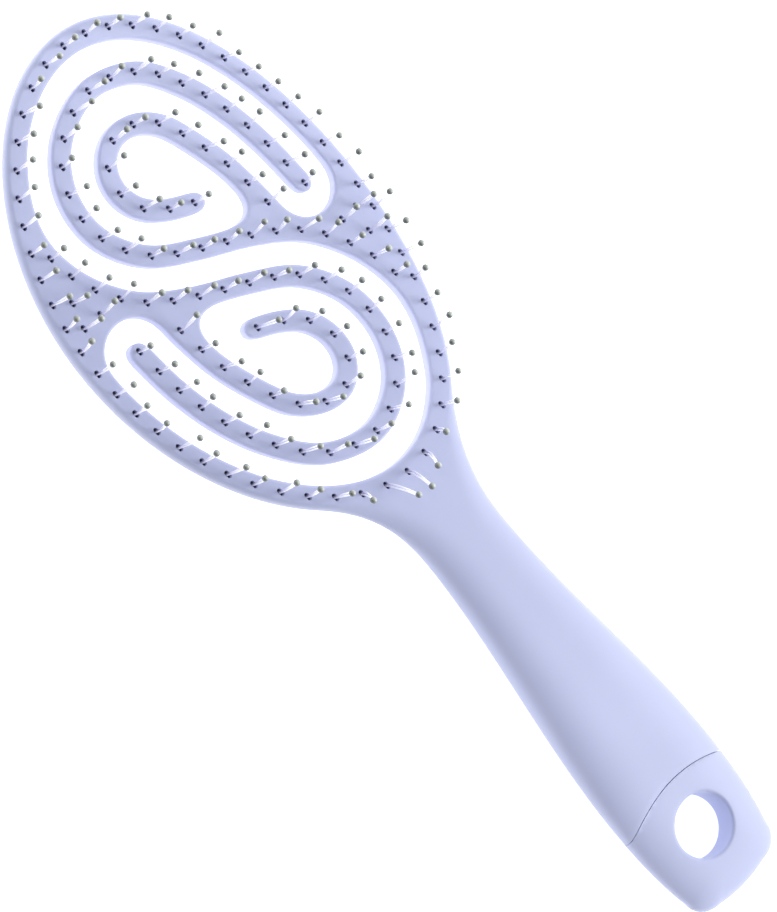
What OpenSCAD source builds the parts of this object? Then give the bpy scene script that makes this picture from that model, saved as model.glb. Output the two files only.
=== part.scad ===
// Oval vent brush: a springy head plate cut by one S-shaped vent, tufts of looped nylon with a
// ball on each, and a hollow handle closed by a cap with a hanging hole. Millimetres.
// X runs along the brush towards the tip of the head, Z is up on the bristle side, and the
// brush lies on its back on Z = 0, with the origin under the middle of its length and width.

/* [Overall] */
// Length of the brush, from the tip of the head to the end of the cap
overall_length = 242; // [234:1:254]

/* [Head] */
// Length of the head's oval
head_length = 124; // [118:1:130]
// Width of the head's oval
head_width = 79.8; // [76:0.2:84]
// Thickness of the head plate
plate_thick = 3.8; // [3.4:0.1:4.6]
// Height of the tip of the head above the middle, as the plate curves up
tip_rise = 8.1; // [6:0.1:10]
// Depth of the long sides of the head below the middle, as the plate curves down
side_fall = 3.1; // [2:0.1:4]
// Rounding round the outer edge of the plate
edge_round = 1.4; // [1:0.1:2]

/* [Vent] */
// Width of the springy bars between the runs of the vent
bar_w = 4.8; // [4.4:0.1:5.4]
// Width of the rim at the long sides of the head
rim_side_w = 4.8; // [4.3:0.1:5.2]
// Width of the rim at the tip and at the neck
rim_tip_w = 5.8; // [5:0.1:6.4]
// Width of the vent round the free end of an outer bar
end_gap = 5.2; // [4.6:0.1:5.6]
// Easing of the edges of the vent
vent_ease = 0.7; // [0.3:0.1:1]

/* [Handle] */
// Distance from the head's oval to the waist, the narrowest place of the handle
waist_from_head = 18; // [15:1:22]
// Width of the waist
waist_w = 20.2; // [18:0.2:23]
// Thickness of the waist
waist_thick = 9.4; // [8.6:0.2:11]
// Height of the underside of the waist above the table
waist_lift = 4.7; // [3.5:0.1:6]
// Distance from the end of the handle to the widest place of the grip
grip_from_end = 30; // [27:1:34]
// Width of the grip
grip_w = 31.5; // [29:0.1:33]
// Distance from the end of the handle to where the grip's thickness is measured
belly_from_end = 42; // [38:1:46]
// Thickness of the grip
grip_thick = 11.5; // [10.6:0.1:12.6]
// Width across the end of the handle, before its corners are rounded
end_w = 27; // [25:0.2:28]
// Thickness of the end of the handle, before its edge is rounded
end_thick = 6.5; // [6:0.1:8]
// Radius of the corners of the end, seen from above
corner_r = 6; // [4:0.5:8]
// Wall round the hollow of the handle
handle_wall = 2.2; // [1.8:0.1:2.6]

/* [End cap] */
// Radius of the curved seam between the handle and the cap
seam_r = 30; // [28:0.5:32]
// Open line of the seam
seam_gap = 0.15; // [0.1:0.01:0.3]
// Diameter of the hanging hole
hole_d = 14.6; // [12:0.2:16]
// Distance from the end of the cap to the centre of the hanging hole
hole_from_end = 17.2; // [15.5:0.1:18.5]
// Easing of the mouths of the hanging hole
hole_ease = 0.7; // [0.3:0.1:1]
// Length of the spigot that holds the cap in the handle
spigot_len = 9; // [6:0.5:12]
// Clearance round the spigot
spigot_fit = 0.15; // [0.1:0.01:0.3]

/* [Tufts] */
// Height of a tuft above the plate, to the top of its ball
tuft_height = 10.4; // [8.4:0.2:13]
// Spacing of the tufts along an outer bar
outer_pitch = 5.98; // [5.7:0.01:6.3]
// Spacing of the tufts along an inner bar
inner_pitch = 6.13; // [5.8:0.01:6.4]
// Spacing of the tufts round the rim
rim_pitch = 5.85; // [5.5:0.01:6.5]
// Diameter of the ball on a tuft
ball_d = 1.45; // [1.3:0.05:1.6]
// Diameter of a nylon strand
strand_d = 0.38; // [0.32:0.01:0.44]
// Depth of a tuft hole
tuft_depth = 2.8; // [2.6:0.1:3]
// Length of a tuft hole, along the brush
tuft_slot = 1.9; // [1.7:0.05:2.3]
// Thickness of the staple that holds a tuft
staple_t = 0.2; // [0.15:0.01:0.24]
// Height of the staple
staple_h = 1; // [0.8:0.05:1.2]
// Clearance between a staple, its strands and their hole
tuft_fit = 0.02; // [0.01:0.005:0.04]

/* [Hidden] */
eps = 0.01;
plastic = [0.76, 0.78, 0.92];
nylon = [0.95, 0.95, 0.97];
resin = [0.55, 0.6, 0.56];
steel = [0.6, 0.62, 0.66];

// Places along the brush are measured from the centre of the head's oval.
half_l = head_length / 2;
half_w = head_width / 2;
tail = overall_length - half_l;
head_x = overall_length / 2 - half_l;
neck_x = -0.84 * half_l;
waist_x = -half_l - waist_from_head;
grip_x = grip_from_end - tail;
belly_x = belly_from_end - tail;
hole_x = hole_from_end - tail;
seam_x = seam_r - tail;
// How far a cut right through the handle reaches
through = 40;
face_z = plate_thick + side_fall * pow(1 - edge_round / half_w, 2);

function mix(a, b, t) = a + (b - a) * t;
function clamp01(t) = min(1, max(0, t));
function ease(t) = let(u = clamp01(t)) u * u * (3 - 2 * u);
function along(x, from, to) = (x - from) / (to - from);
// A cubic from p0 to p1 over a run of the given length, with its slopes at both ends.
function cubic(t, p0, p1, run, m0, m1) =
    let(t2 = t * t, t3 = t2 * t)
    p0 * (2 * t3 - 3 * t2 + 1) + p1 * (3 * t2 - 2 * t3)
    + run * (m0 * (t3 - 2 * t2 + t) + m1 * (t3 - t2));

// Side view: the line along the middle of the front face and of the back.
function dish(x) = face_z + tip_rise * pow(x / half_l, 2);
dish_slope = 2 * tip_rise * neck_x / half_l / half_l;
under_x = -0.9 * half_l;
waist_top = waist_lift + waist_thick;
function front_line(x) =
    x > neck_x ? dish(x)
    : x > waist_x ? cubic(along(x, neck_x, waist_x), dish(neck_x), waist_top,
        neck_x - waist_x, -dish_slope, -0.03)
    : x > belly_x ? cubic(along(x, waist_x, belly_x), waist_top, grip_thick + 0.2,
        waist_x - belly_x, -0.03, -0.1)
    : cubic(along(x, belly_x, -tail), grip_thick + 0.2, end_thick,
        belly_x + tail, -0.1, -0.15);
function back_line(x) =
    x > under_x ? dish(x) - plate_thick
    : x > waist_x ? cubic(along(x, under_x, waist_x), dish(under_x) - plate_thick, waist_lift,
        under_x - waist_x, 0.1, -0.12)
    : x > belly_x ? cubic(along(x, waist_x, belly_x), waist_lift, 0.2,
        waist_x - belly_x, -0.12, -0.01)
    : cubic(along(x, belly_x, -tail), 0.2, 0, belly_x + tail, -0.01, 0);
function side_drop(p) = side_fall * pow(p.y / half_w, 2) * (1 - ease(along(p.x, neck_x, waist_x)));
function face_at(p) = front_line(p.x) - side_drop(p);
function back_at(p) = back_line(p.x) - side_drop(p);

// Plan view: half the outline, as [x, half width], from the end of the cap to the tip.
neck_w = half_w * sqrt(1 - pow(neck_x / half_l, 2));
neck_slope = half_w / half_l * neck_x / half_l / sqrt(1 - pow(neck_x / half_l, 2));
function handle_half(x) =
    x > waist_x ? cubic(along(x, waist_x, neck_x), waist_w / 2, neck_w,
        neck_x - waist_x, 0, -neck_slope)
    : x > grip_x ? mix(grip_w / 2, waist_w / 2, ease(along(x, grip_x, waist_x)))
    : mix(grip_w / 2, end_w / 2, pow(along(x, grip_x, corner_r - tail), 2.4));
end_bulge = 0.8;
outline = concat(
    [for (t = [0, 0.5]) [-tail + end_bulge * t * t, t * (end_w / 2 - corner_r)]],
    [for (t = [0:18:90]) [
        -tail + end_bulge + (corner_r - end_bulge) * (1 - cos(t)),
        end_w / 2 - corner_r * (1 - sin(t))
    ]],
    [for (i = [1:4]) let(x = mix(corner_r - tail, seam_x - 4, i / 4)) [x, handle_half(x)]],
    [for (i = [1:11]) let(x = mix(seam_x - 4, waist_x, i / 11)) [x, handle_half(x)]],
    [for (i = [1:8]) let(x = mix(waist_x, neck_x, i / 8)) [x, handle_half(x)]],
    [for (i = [1:21]) let(t = mix(acos(neck_x / half_l), 0, i / 21))
        [half_l * cos(t), half_w * sin(t)]]
);
// Where a rib across the brush, ending at outline place x, crosses the middle line.
oval_foot = 1 - pow(half_w / half_l, 2);
function spine_x(x) =
    x > -0.6 * half_l ? oval_foot * x
    : x > waist_x ? mix(-0.6 * half_l * oval_foot, waist_x, ease(along(x, -0.6 * half_l, waist_x)))
    : x > 14 - tail ? x
    : 9 - tail + (x + tail) * 5 / 14;

// Levels of a rib: flat part out to the rounding, then the rounding itself.
flat_steps = [0, 0.5, 1];
round_steps = [22.5, 45, 67.5];
function rib_half(station, side) =
    let(
        foot = [spine_x(station.x), 0],
        rim = [station.x, side * station.y],
        run = norm(rim - foot),
        full = mix(edge_round, 0.8 * run, ease(along(station.x, neck_x, waist_x))),
        edge = min(full, 0.8 * run) / run,
        lift = [for (s = flat_steps) [s * (1 - edge), 1]],
        curl = [for (t = round_steps) [1 - edge + edge * sin(t), cos(t)]]
    )
    [for (level = concat(lift, curl)) [mix(foot, rim, level[0]), level[1]]];
function rib(station) =
    let(left = rib_half(station, 1), right = rib_half(station, -1), n = len(left))
    concat(
        [for (i = [0:n - 1]) let(p = left[i][0]) [p.x, p.y, surface_z(p, left[i][1], 1)]],
        [let(p = [station.x, station.y]) [p.x, p.y, surface_z(p, 0, 1)]],
        [for (i = [n - 1:-1:0]) let(p = left[i][0]) [p.x, p.y, surface_z(p, left[i][1], -1)]],
        [for (i = [1:n - 1]) let(p = right[i][0]) [p.x, p.y, surface_z(p, right[i][1], -1)]],
        [let(p = [station.x, -station.y]) [p.x, p.y, surface_z(p, 0, 1)]],
        [for (i = [n - 1:-1:1]) let(p = right[i][0]) [p.x, p.y, surface_z(p, right[i][1], 1)]]
    );
// Height of the skin: share 1 is the open face, share 0 the middle of the edge.
function surface_z(p, share, up) =
    let(half_t = (front_line(p.x) - back_line(p.x)) / 2)
    face_at(p) - half_t + up * half_t * share;

// A skin over ribs. A closed end is a fan round the middle of its last rib.
module skin(rings, closed_end) {
    n = len(rings[0]);
    last = len(rings) - 1;
    hub = (rings[last][0] + rings[last][n / 2]) / 2;
    walls = [for (i = [0:last - 1], j = [0:n - 1]) let(k = (j + 1) % n)
        each [[i * n + j, i * n + k, (i + 1) * n + k],
            [i * n + j, (i + 1) * n + k, (i + 1) * n + j]]];
    fan = [for (j = [0:n - 1]) [(last + 1) * n, last * n + j, last * n + (j + 1) % n]];
    polyhedron(concat([for (r = rings) each r], closed_end ? [hub] : []),
        closed_end ? concat(walls, fan) : walls, convexity = 8);
}

// Curves: a smooth path through points, its length table, and places along it.
function knot(p0, p1, p2, p3, t) = 0.5 * (2 * p1 + (p2 - p0) * t
    + (2 * p0 - 5 * p1 + 4 * p2 - p3) * t * t + (3 * p1 - p0 - 3 * p2 + p3) * t * t * t);
function smooth_path(p, steps = 8) = let(n = len(p) - 1) concat(
    [for (i = [0:n - 1], j = [0:steps - 1]) knot(i > 0 ? p[i - 1] : 2 * p[0] - p[1], p[i],
        p[i + 1], i < n - 1 ? p[i + 2] : 2 * p[n] - p[n - 1], j / steps)],
    [p[n]]);
function miles(p) = [for (i = 0, s = 0; i < len(p);
    s = s + (i < len(p) - 1 ? norm(p[i + 1] - p[i]) : 0), i = i + 1) s];
function places(p, at) =
    let(
        m = miles(p),
        px = [for (i = [0:len(p) - 1]) [m[i], p[i].x]],
        py = [for (i = [0:len(p) - 1]) [m[i], p[i].y]]
    )
    [for (s = at) [lookup(s, px), lookup(s, py)]];
function spaced(p, step) =
    let(m = miles(p), total = m[len(m) - 1], n = ceil(total / step))
    places(p, [for (i = [0:n]) total * i / n]);
function way(p, i) = let(d = p[min(i + 1, len(p) - 1)] - p[max(i - 1, 0)]) d / norm(d);
// The path moved sideways, to the left of its run where the distance is positive.
function beside(p, dist) = [for (i = [0:len(p) - 1]) let(w = way(p, i)) p[i] + dist * [-w.y, w.x]];
function backwards(p) = [for (i = [len(p) - 1:-1:0]) p[i]];
function part_of(p, from, to) = [for (i = [from:to]) p[i]];
function arc(c, r, from, to, n) = [for (i = [0:n]) let(t = mix(from, to, i / n))
    c + r * [cos(t), sin(t)]];
function heading(p, i) = let(w = way(p, i)) atan2(w.y, w.x);
function turned(p) = [for (q = p) -q];

// Middle lines of one outer and one inner bar, in hundredths of the oval's half length and half
// width. The other pair is the same pair turned half a turn.
function on_oval(p) = [for (q = p) [q.x * half_l / 100, q.y * half_w / 100]];
outer_run = [
    [1.8, -68.6], [21, -66.1], [39.4, -59.7], [56.8, -48], [71.5, -29.3], [77.7, -0.3],
    [71, 27.8], [56.1, 44.1], [37.4, 45.4], [20.6, 30.1], [10, 3.6], [1, -24.7],
    [-10.5, -50.3], [-26.8, -67.3], [-43.4, -74], [-56.5, -71.9], [-67.7, -64.3]
];
inner_run = [
    [6, -43.6], [25.3, -39.3], [43.9, -29.6], [52.6, -21.9], [58.5, -8.9], [58.9, 6.4],
    [52.3, 18.1], [42.9, 20.9], [33.7, 15.3], [27.4, 3.1], [22.9, -11.7]
];
vent_half_l = half_l - rim_tip_w;
vent_half_w = half_w - rim_side_w;
bar_half = bar_w / 2;
join_turn = 215;
outer_path = smooth_path(concat(on_oval(outer_run),
    [[(vent_half_l + bar_half) * cos(join_turn), (vent_half_w + bar_half) * sin(join_turn)]]));
inner_path = smooth_path(on_oval(inner_run));

// The wall of the vent, one half of it, then the whole loop.
outer_step = 3.6;
inner_step = 2.9;
end_steps = 6;
outer_mid = spaced(outer_path, outer_step);
inner_mid = spaced(inner_path, inner_step);
outer_last = len(outer_mid) - 1;
inner_last = len(inner_mid) - 1;
fork_from = 0.655;
fork_at = round(fork_from * outer_last);
fork_on = 3;
loop_r = bar_half + end_gap;
function oval_wall(from, to, n) = [for (i = [0:n]) let(t = mix(from, to, i / n))
    [vent_half_l * cos(t), vent_half_w * sin(t)]];
function meet(p, u, q, v) = let(k = cross(q - p, v) / cross(u, v)) p + k * u;
function bend(p, c, q, n) = [for (i = [1:n - 1]) let(t = i / n)
    mix(mix(p, c, t), mix(c, q, t), t)];
outer_side = beside(outer_mid, -bar_half);
inside_outer = beside(outer_mid, bar_half);
eye_side = beside(inner_mid, bar_half);
far_side = beside(inner_mid, -bar_half);
free_outer = heading(outer_mid, 0);
free_inner = heading(inner_mid, inner_last);
fork_corner = meet(inside_outer[fork_at], way(outer_mid, fork_at),
    eye_side[fork_on], way(inner_mid, fork_on));
half_wall = concat(
    oval_wall(95, join_turn - 2, 28),
    backwards(part_of(outer_side, 1, outer_last - 1)),
    arc(outer_mid[0], bar_half, free_outer - 90, free_outer - 270, end_steps),
    part_of(inside_outer, 1, fork_at),
    bend(inside_outer[fork_at], fork_corner, eye_side[fork_on], 6),
    part_of(eye_side, fork_on, inner_last - 1),
    arc(inner_mid[inner_last], bar_half, free_inner + 90, free_inner - 90, end_steps),
    backwards(part_of(far_side, 1, inner_last - 1)),
    arc(outer_mid[0], loop_r, 88, 264, 9)
);
rough_loop = concat(half_wall, turned(half_wall));
loop_n = len(rough_loop);
vent_loop = [for (i = [0:loop_n - 1])
    (rough_loop[(i + loop_n - 1) % loop_n] + 6 * rough_loop[i] + rough_loop[(i + 1) % loop_n]) / 8];
function loop_way(i) =
    let(d = vent_loop[(i + 1) % loop_n] - vent_loop[(i + loop_n - 1) % loop_n]) d / norm(d);
function loop_out(i, dist) = let(w = loop_way(i)) vent_loop[i] + dist * [w.y, -w.x];

module vent_cutter() {
    low = -5;
    high = face_z + tip_rise + waist_top;
    levels = [for (i = [0:loop_n - 1])
        let(
            wide = loop_out(i, vent_ease),
            p = vent_loop[i],
            over = loop_out(i, vent_ease + eps)
        )
        [
            [over.x, over.y, low],
            [over.x, over.y, back_at(wide) - eps],
            [p.x, p.y, back_at(p) + vent_ease],
            [p.x, p.y, face_at(p) - vent_ease],
            [over.x, over.y, face_at(wide) + eps],
            [over.x, over.y, high]
        ]];
    rows = len(levels[0]);
    walls = [for (i = [0:loop_n - 1], j = [0:rows - 2]) let(k = (i + 1) % loop_n)
        each [[i * rows + j, i * rows + j + 1, k * rows + j + 1],
            [i * rows + j, k * rows + j + 1, k * rows + j]]];
    floor_face = [for (i = [0:loop_n - 1]) i * rows];
    roof_face = [for (i = [loop_n - 1:-1:0]) i * rows + rows - 1];
    polyhedron([for (l = levels) each l], concat(walls, [floor_face, roof_face]), convexity = 12);
}

// Tuft places, one list for each row.
function both_ways(p) = concat(p, turned(p));
outer_tufts = both_ways(places(outer_path, [for (i = [0:28]) i * outer_pitch]));
inner_tufts = both_ways(places(inner_path, [for (i = [0:12]) i * inner_pitch]));
row_half_l = half_l - rim_tip_w / 2;
row_half_w = half_w - rim_side_w / 2;
rim_row = [for (t = [0:3:360]) [row_half_l * cos(t), row_half_w * sin(t)]];
rim_miles = miles(rim_row);
rim_round = rim_miles[len(rim_miles) - 1];
rim_count = 2 * round(rim_round / rim_pitch / 2);
rim_start = 4.6;
rim_tufts = places(rim_row, [for (i = [0:rim_count - 1])
    (rim_start + i * rim_round / rim_count) % rim_round]);
fork_tufts = both_ways(on_oval([[17, 83.7], [26.3, 79.8], [16.8, 71.8]]));

// A tuft is one strand folded under a flat staple, with a ball seated on its two ends.
strand_off = staple_t / 2 + tuft_fit + strand_d / 2;
tuft_w = 2 * (strand_off + strand_d / 2 + tuft_fit);
fold_z = tuft_w / 2 - tuft_depth;
seat_r = strand_off + strand_d / 2 + tuft_fit;
seat_drop = sqrt(pow(ball_d / 2, 2) - seat_r * seat_r);
ball_z = tuft_height - ball_d / 2;

module at_tufts(row) {
    for (p = row) translate([p.x, p.y, face_at(p)]) children();
}
module tuft_hole() {
    hull() for (s = [-1, 1]) translate([s * (tuft_slot - tuft_w) / 2, 0, -tuft_depth])
        rotate([0, 0, 45]) cylinder(d = tuft_w * sqrt(2), h = tuft_depth + 1, $fn = 4);
}
module bristle() {
    for (s = [-1, 1]) translate([0, s * strand_off, fold_z])
        cylinder(d = strand_d, h = ball_z - seat_drop - fold_z, $fn = 16);
    translate([0, 0, fold_z]) rotate([0, 90, 0]) rotate([0, 0, -90])
        rotate_extrude(angle = 180, $fn = 24)
            translate([strand_off, 0]) circle(d = strand_d, $fn = 16);
}
module ball_tip() {
    translate([0, 0, ball_z]) rotate_extrude($fn = 20) intersection() {
        circle(d = ball_d, $fn = 24);
        translate([0, -seat_drop]) square(ball_d);
    }
}
module staple() {
    long = tuft_slot - 2 * tuft_fit;
    translate([-long / 2, -staple_t / 2, fold_z]) cube([long, staple_t, staple_h]);
}

// The hollow of the handle, a long tapered core drawn out through the seam.
function hollow_w(x) = mix(handle_half(seam_x) - handle_wall - 0.6, waist_w / 2 - handle_wall - 1.4,
    along(x, seam_x, waist_x));
function hollow_h(x) = mix((front_line(seam_x) - back_line(seam_x)) / 2 - handle_wall,
    waist_thick / 2 - handle_wall, along(x, seam_x, waist_x));
function middle_z(x) = (front_line(x) + back_line(x)) / 2;
function hollow_z(x) = mix(middle_z(seam_x), middle_z(waist_x), along(x, seam_x, waist_x));
function ovoid(w, h, n = 28) = [for (i = [0:n - 1]) let(t = 360 * i / n)
    [w * sign(cos(t)) * pow(abs(cos(t)), 0.8), h * sign(sin(t)) * pow(abs(sin(t)), 0.8)]];
module slice(x, w, h) {
    translate([x, 0, hollow_z(x)]) rotate([90, 0, 90]) linear_extrude(eps) polygon(ovoid(w, h));
}
// The hollow between two places, drawn in by a clearance.
module hollow(from, to, fit = 0) {
    hull() for (x = [from, to]) slice(x, hollow_w(x) - fit, hollow_h(x) - fit);
}

module brush_body() {
    color(plastic) translate([head_x, 0, 0]) difference() {
        skin([for (s = outline) rib(s)], false);
        vent_cutter();
        translate([-tail, 0, -1]) cylinder(r = seam_r + seam_gap, h = through, $fn = 180);
        hollow(seam_x - seam_r / 5, waist_x);
        for (row = [rim_tufts, outer_tufts, inner_tufts, fork_tufts]) at_tufts(row) tuft_hole();
    }
}

cap_stations = 13;
module end_cap() {
    slope = (front_line(hole_x + 1) - front_line(hole_x - 1)) / 2;
    color(plastic) translate([head_x, 0, 0]) difference() {
        union() {
            intersection() {
                skin([for (i = [0:cap_stations]) rib(outline[i])], true);
                translate([-tail, 0, -1]) cylinder(r = seam_r, h = through, $fn = 180);
            }
            hollow(seam_x - seam_r / 6, seam_x + spigot_len, spigot_fit);
        }
        translate([hole_x, 0, -1]) cylinder(d = hole_d, h = through, $fn = 96);
        translate([hole_x, 0, front_line(hole_x)]) rotate([0, -atan(slope), 0])
            hull() for (rise = [-hole_ease - 0.2, hole_ease]) translate([0, 0, rise])
                cylinder(d = hole_d + 2 * (rise + hole_ease), h = eps, $fn = 60);
        translate([hole_x, 0, back_line(hole_x) - hole_ease])
            cylinder(d1 = hole_d + 4 * hole_ease, d2 = hole_d, h = 2 * hole_ease, $fn = 96);
    }
}

module bristle_row(row) { color(nylon) translate([head_x, 0, 0]) at_tufts(row) bristle(); }
module ball_row(row) { color(resin) translate([head_x, 0, 0]) at_tufts(row) ball_tip(); }
module staple_row(row) { color(steel) translate([head_x, 0, 0]) at_tufts(row) staple(); }

brush_body();
end_cap();
bristle_row(rim_tufts);  // rim_bristles
bristle_row(outer_tufts);  // outer_bar_bristles
bristle_row(inner_tufts);  // inner_bar_bristles
bristle_row(fork_tufts);  // fork_bristles
ball_row(rim_tufts);  // rim_ball_tips
ball_row(outer_tufts);  // outer_bar_ball_tips
ball_row(inner_tufts);  // inner_bar_ball_tips
ball_row(fork_tufts);  // fork_ball_tips
staple_row(rim_tufts);  // rim_staples
staple_row(outer_tufts);  // outer_bar_staples
staple_row(inner_tufts);  // inner_bar_staples
staple_row(fork_tufts);  // fork_staples
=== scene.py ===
import math
import random

import bpy
import numpy as np
from mathutils import Euler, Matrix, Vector
from mathutils.bvhtree import BVHTree
from mathutils.geometry import delaunay_2d_cdt


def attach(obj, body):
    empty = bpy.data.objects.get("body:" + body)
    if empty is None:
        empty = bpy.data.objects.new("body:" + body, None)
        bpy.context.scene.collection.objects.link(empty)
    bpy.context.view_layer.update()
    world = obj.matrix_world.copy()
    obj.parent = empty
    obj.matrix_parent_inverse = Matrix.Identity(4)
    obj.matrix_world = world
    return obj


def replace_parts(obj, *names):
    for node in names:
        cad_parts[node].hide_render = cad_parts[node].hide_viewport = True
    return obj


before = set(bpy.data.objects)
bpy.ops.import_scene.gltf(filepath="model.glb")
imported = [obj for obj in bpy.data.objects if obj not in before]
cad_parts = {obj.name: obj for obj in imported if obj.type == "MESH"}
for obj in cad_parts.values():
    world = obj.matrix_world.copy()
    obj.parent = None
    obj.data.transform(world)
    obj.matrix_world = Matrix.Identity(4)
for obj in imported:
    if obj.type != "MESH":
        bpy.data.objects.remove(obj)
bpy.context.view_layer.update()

# The brush is worked out in millimetres from the middle of the head's oval, with the sizes of
# the part's source, and goes into the shared frame in metres.
MM = 0.001
HALF_L, HALF_W, TAIL = 62.0, 39.9, 180.0
HEAD_X = 59.0
PLATE, TIP_RISE, SIDE_FALL, EDGE = 3.8, 8.1, 3.1, 1.4
BAR, RIM_SIDE, RIM_TIP, END_GAP = 4.8, 4.8, 5.8, 5.2
WAIST_W, WAIST_THICK, WAIST_LIFT = 20.2, 9.4, 4.7
GRIP_W, GRIP_THICK = 31.5, 11.5
END_W, END_THICK, CORNER = 27.0, 6.5, 6.0
NECK, UNDER, WAIST, BELLY, GRIP = -0.84 * HALF_L, -0.9 * HALF_L, -80.0, -138.0, -150.0
SEAM, SEAM_R, SEAM_GAP = -150.0, 30.0, 0.15
HOLE_X, HOLE_R = -162.8, 7.3
WALL, SPIGOT, SPIGOT_FIT = 2.2, 9.0, 0.15
# Finer than the source: the eased edges of the holes, the broken edges of the seam, the bow of
# the end, and how far down a tuft hole's wall stays plain lilac before its painted shade starts.
EASING, BROKEN, END_BOW, SHADE_FROM = 0.8, 0.12, 0.8, 1.0
# How much further than the wall the hollow stays off the flanks, at the seam and at the waist,
# and how far its round is from square.
OFF_SEAM, OFF_WAIST, OVOID = 0.6, 1.4, 0.8
BALL, STRAND, STAPLE, FIT = 1.45, 0.38, 0.2, 0.02
TUFT_H, TUFT_DEEP, TUFT_SLOT = 10.4, 2.8, 1.9
RIM_START, RIM_PITCH, OUTER_PITCH, INNER_PITCH = 4.6, 5.85, 5.98, 6.13
FACE = PLATE + SIDE_FALL * (1 - EDGE / HALF_W) ** 2
STRAND_OFF = STAPLE / 2 + FIT + STRAND / 2
TUFT_W = 2 * (STRAND_OFF + STRAND / 2 + FIT)


def mix(a, b, t):
    return a + (b - a) * t


def ease(t):
    t = np.clip(t, 0, 1)
    return t * t * (3 - 2 * t)


def along(x, a, b):
    return (x - a) / (b - a)


def cubic(t, p0, p1, run, m0, m1):
    t2, t3 = t * t, t * t * t
    return (p0 * (2 * t3 - 3 * t2 + 1) + p1 * (3 * t2 - 2 * t3)
            + run * (m0 * (t3 - 2 * t2 + t) + m1 * (t3 - t2)))


def dish(x):
    return FACE + TIP_RISE * (x / HALF_L) ** 2


def front(x):
    """Height of the middle of the front face at x."""
    x = np.asarray(x, float)
    top = WAIST_LIFT + WAIST_THICK
    slope = -2 * TIP_RISE * NECK / HALF_L ** 2
    return np.select(
        [x > NECK, x > WAIST, x > BELLY],
        [dish(x),
         cubic(along(x, NECK, WAIST), dish(NECK), top, NECK - WAIST, slope, -0.03),
         cubic(along(x, WAIST, BELLY), top, GRIP_THICK + 0.2, WAIST - BELLY, -0.03, -0.1)],
        cubic(along(x, BELLY, -TAIL), GRIP_THICK + 0.2, END_THICK, BELLY + TAIL, -0.1, -0.15))


def back(x):
    """Height of the middle of the underside at x."""
    x = np.asarray(x, float)
    return np.select(
        [x > UNDER, x > WAIST, x > BELLY],
        [dish(x) - PLATE,
         cubic(along(x, UNDER, WAIST), dish(UNDER) - PLATE, WAIST_LIFT, UNDER - WAIST, 0.1, -0.12),
         cubic(along(x, WAIST, BELLY), WAIST_LIFT, 0.2, WAIST - BELLY, -0.12, -0.01)],
        cubic(along(x, BELLY, -TAIL), 0.2, 0, BELLY + TAIL, -0.01, 0))


def side_drop(x, y):
    return SIDE_FALL * (y / HALF_W) ** 2 * (1 - ease(along(x, NECK, WAIST)))


def face_z(x, y):
    return front(x) - side_drop(x, y)


NECK_W = HALF_W * math.sqrt(1 - (NECK / HALF_L) ** 2)
NECK_SLOPE = HALF_W / HALF_L * NECK / HALF_L / math.sqrt(1 - (NECK / HALF_L) ** 2)


def half_width(x):
    x = np.asarray(x, float)
    return np.select(
        [x > NECK, x > WAIST, x > GRIP],
        [HALF_W * np.sqrt(np.clip(1 - (x / HALF_L) ** 2, 0, 1)),
         cubic(along(x, WAIST, NECK), WAIST_W / 2, NECK_W, NECK - WAIST, 0, -NECK_SLOPE),
         mix(GRIP_W / 2, WAIST_W / 2, ease(along(x, GRIP, WAIST)))],
        mix(GRIP_W / 2, END_W / 2, np.clip(along(x, GRIP, CORNER - TAIL), 0, 2) ** 2.4))


# Ribs stand square to the oval as far as OVAL_END, square to the handle on to CAP_TURN, and fan
# out round the end from there. The head's edge strip joins the handle's rings at HEAD_JOIN, its
# painted pale tint and glow are full from TINT_FULL on, and the rings start to bow like the seam
# at BOW_FROM.
OVAL_FOOT, OVAL_END = 1 - (HALF_W / HALF_L) ** 2, -0.6 * HALF_L
CAP_TURN, END_FOOT = 14 - TAIL, 9 - TAIL
HEAD_JOIN, TINT_FULL, BOW_FROM = -68.0, -40.0, -118.0


def foot_x(x):
    """Where the rib that ends at outline place x crosses the middle line of the brush."""
    if x > OVAL_END:
        return OVAL_FOOT * x
    if x > WAIST:
        return mix(OVAL_END * OVAL_FOOT, WAIST, float(ease(along(x, OVAL_END, WAIST))))
    if x > CAP_TURN:
        return x
    return END_FOOT + (x + TAIL) * (CAP_TURN - END_FOOT) / (CAP_TURN + TAIL)


FLAT = np.array([0, 0.25, 0.5, 0.75, 1.0])
ROUND = np.radians(np.arange(9, 90.1, 9))
FLAT_END = len(FLAT) - 1
CUT = FLAT_END + 4
LEVELS = len(FLAT) + len(ROUND)
# The share of a handle's rib before its rounding starts, and how square that rounding is.
FLAT_PART, SQUARE = 0.2, 2.5
# The pitch of the grid on the flat of the head, and its least distance from slots and edges.
GRID, OFF_SLOT, OFF_EDGE = 2.0, 0.3, 0.8


def lift_at(out, square):
    """Share of the half thickness at a share of the way out over the rounding: 2 gives a round
    side, and more gives a flatter face with a tighter side."""
    return np.clip(1 - np.clip(out, 0, 1) ** square, 0, 1) ** (1 / square)


def heights(x, y, lift):
    """Front and back of the skin over plan places, where lift is 1 on the faces, 0 at the edge."""
    half = (front(x) - back(x)) / 2
    middle = face_z(x, y) - half
    return (np.column_stack([x, y, middle + half * lift]),
            np.column_stack([x, y, middle - half * lift]))


def straight_rib(x, y, side):
    foot = foot_x(x)
    run = math.hypot(x - foot, y)
    handle = float(ease(along(x, NECK, WAIST)))
    most = (1 - FLAT_PART) * run
    edge = min(mix(EDGE, most, handle), most) / run
    s = np.concatenate([FLAT * (1 - edge), 1 - edge + edge * np.sin(ROUND)])
    lift = lift_at((s - 1 + edge) / edge, mix(2, SQUARE, handle))
    return heights(foot + (x - foot) * s, side * y * s, lift)


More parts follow.
